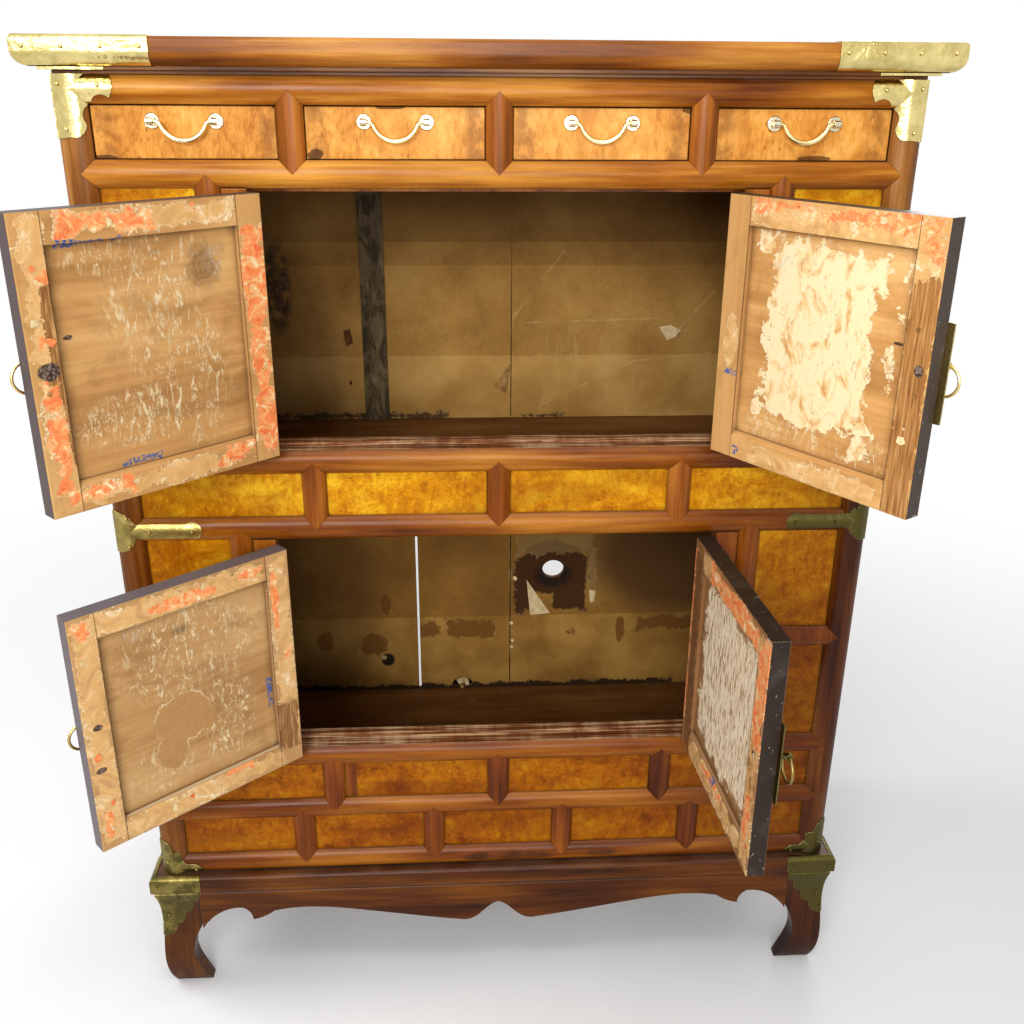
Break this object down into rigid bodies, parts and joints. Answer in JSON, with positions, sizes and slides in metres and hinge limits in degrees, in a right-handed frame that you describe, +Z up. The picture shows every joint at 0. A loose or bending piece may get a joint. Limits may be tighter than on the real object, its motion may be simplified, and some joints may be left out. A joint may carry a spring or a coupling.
{
  "type": "two tier chest",
  "caption": "Korean two-tier chest on a scalloped base, with doors on each tier, a row of drawers under the top, framed burl panels and brass mounts.",
  "frame": {"origin": "on the floor, under the middle of the bounding box with the doors open as stored", "axes": "+Z up, +Y from the front to the back, +X to the right of someone facing the chest"},
  "size_m": [1.0274, 0.7703, 1.3027],
  "materials": {
    "frame_wood": "satin oil and wax",
    "top_wood": "satin oil and wax",
    "stile_wood": "satin oil and wax",
    "burl_panel": "satin oil and wax",
    "side_wood": "satin oil and wax",
    "drawer_wood": "satin oil and wax",
    "door_wood": "bare and worn, traces of paint",
    "door_panel_wood": "bare with torn lining paper",
    "papered_board": "lined with old paper, torn",
    "plain_wood": "bare, dusty",
    "brass": "worn, tarnished toward the floor"
  },
  "bodies": {
    "case": {"top_panel": "top_wood", "under_top_board": "frame_wood", "front_posts": "frame_wood", "rear_posts": "frame_wood", "front_rails": "frame_wood", "row_stiles": "stile_wood", "column_frames": "stile_wood", "door_jambs_and_stops": "frame_wood", "row_panels": "burl_panel", "column_panels": "burl_panel", "side_rails": "frame_wood", "side_panels": "side_wood", "back_frame": "plain_wood", "upper_back_boards": "papered_board", "lower_back_boards": "papered_board", "upper_floor": "plain_wood", "lower_floor": "plain_wood", "drawer_deck": "plain_wood", "base_frame": "frame_wood", "base_aprons": "frame_wood", "front_legs": "frame_wood", "rear_legs": "frame_wood", "top_corner_brasses": "brass", "corner_brasses": "brass", "brass_nails": "brass", "frame_hinge_leaves": "brass", "hinge_pins": "brass"},
    "upper_left_door": {"upper_left_door_frame": "door_wood", "upper_left_door_panel": "door_panel_wood", "upper_left_door_brass": "brass"},
    "upper_left_ring": {"upper_left_ring_pull": "brass"},
    "upper_right_door": {"upper_right_door_frame": "door_wood", "upper_right_door_panel": "door_panel_wood", "upper_right_door_brass": "brass"},
    "upper_right_ring": {"upper_right_ring_pull": "brass"},
    "lower_left_door": {"lower_left_door_frame": "door_wood", "lower_left_door_panel": "door_panel_wood", "lower_left_door_brass": "brass"},
    "lower_left_ring": {"lower_left_ring_pull": "brass"},
    "lower_right_door": {"lower_right_door_frame": "door_wood", "lower_right_door_panel": "door_panel_wood", "lower_right_door_brass": "brass"},
    "lower_right_ring": {"lower_right_ring_pull": "brass"},
    "drawer_1": {"drawer_1_front": "drawer_wood", "drawer_1_box": "plain_wood", "drawer_1_rosettes": "brass"},
    "drawer_1_handle": {"drawer_1_bail": "brass"},
    "drawer_2": {"drawer_2_front": "drawer_wood", "drawer_2_box": "plain_wood", "drawer_2_rosettes": "brass"},
    "drawer_2_handle": {"drawer_2_bail": "brass"},
    "drawer_3": {"drawer_3_front": "drawer_wood", "drawer_3_box": "plain_wood", "drawer_3_rosettes": "brass"},
    "drawer_3_handle": {"drawer_3_bail": "brass"},
    "drawer_4": {"drawer_4_front": "drawer_wood", "drawer_4_box": "plain_wood", "drawer_4_rosettes": "brass"},
    "drawer_4_handle": {"drawer_4_bail": "brass"}
  },
  "joints": [
    {"name": "upper_left_door_hinge", "type": "hinge", "parent": "case", "child": "upper_left_door", "pos_m": [-0.28226, -0.09006, 0.9925], "axis": [0, 0, -1], "range_deg": [-135.6, 29.4]},
    {"name": "upper_left_ring_swing", "type": "hinge", "parent": "upper_left_door", "child": "upper_left_ring", "pos_m": [-0.47867, -0.27862, 0.9985], "axis": [0.7145, 0.6997, 0], "range_deg": [0, 95]},
    {"name": "upper_right_door_hinge", "type": "hinge", "parent": "case", "child": "upper_right_door", "pos_m": [0.28226, -0.09006, 0.9925], "axis": [0, 0, 1], "range_deg": [-122.4, 42.6]},
    {"name": "upper_right_ring_swing", "type": "hinge", "parent": "upper_right_door", "child": "upper_right_ring", "pos_m": [0.43887, -0.32023, 0.9985], "axis": [0.5358, -0.8443, 0], "range_deg": [0, 95]},
    {"name": "lower_left_door_hinge", "type": "hinge", "parent": "case", "child": "lower_left_door", "pos_m": [-0.28226, -0.09006, 0.5635], "axis": [0, 0, -1], "range_deg": [-139, 26]},
    {"name": "lower_left_ring_swing", "type": "hinge", "parent": "lower_left_door", "child": "lower_left_ring", "pos_m": [-0.48951, -0.26664, 0.5695], "axis": [0.7547, 0.6561, 0], "range_deg": [0, 95]},
    {"name": "lower_right_door_hinge", "type": "hinge", "parent": "case", "child": "lower_right_door", "pos_m": [0.28226, -0.09006, 0.5635], "axis": [0, 0, 1], "range_deg": [-93.6, 71.4]},
    {"name": "lower_right_ring_swing", "type": "hinge", "parent": "lower_right_door", "child": "lower_right_ring", "pos_m": [0.30861, -0.36721, 0.5695], "axis": [0.0628, -0.998, 0], "range_deg": [0, 95]},
    {"name": "drawer_1_slide", "type": "slide", "parent": "case", "child": "drawer_1", "axis": [0, -1, 0], "range_m": [0, 0.3]},
    {"name": "drawer_1_bail_swing", "type": "hinge", "parent": "drawer_1", "child": "drawer_1_handle", "pos_m": [-0.345, -0.08906, 1.21725], "axis": [-1, 0, 0], "range_deg": [0, 100]},
    {"name": "drawer_2_slide", "type": "slide", "parent": "case", "child": "drawer_2", "axis": [0, -1, 0], "range_m": [0, 0.3]},
    {"name": "drawer_2_bail_swing", "type": "hinge", "parent": "drawer_2", "child": "drawer_2_handle", "pos_m": [-0.115, -0.08906, 1.21725], "axis": [-1, 0, 0], "range_deg": [0, 100]},
    {"name": "drawer_3_slide", "type": "slide", "parent": "case", "child": "drawer_3", "axis": [0, -1, 0], "range_m": [0, 0.3]},
    {"name": "drawer_3_bail_swing", "type": "hinge", "parent": "drawer_3", "child": "drawer_3_handle", "pos_m": [0.115, -0.08906, 1.21725], "axis": [-1, 0, 0], "range_deg": [0, 100]},
    {"name": "drawer_4_slide", "type": "slide", "parent": "case", "child": "drawer_4", "axis": [0, -1, 0], "range_m": [0, 0.3]},
    {"name": "drawer_4_bail_swing", "type": "hinge", "parent": "drawer_4", "child": "drawer_4_handle", "pos_m": [0.345, -0.08906, 1.21725], "axis": [-1, 0, 0], "range_deg": [0, 100]}
  ]
}
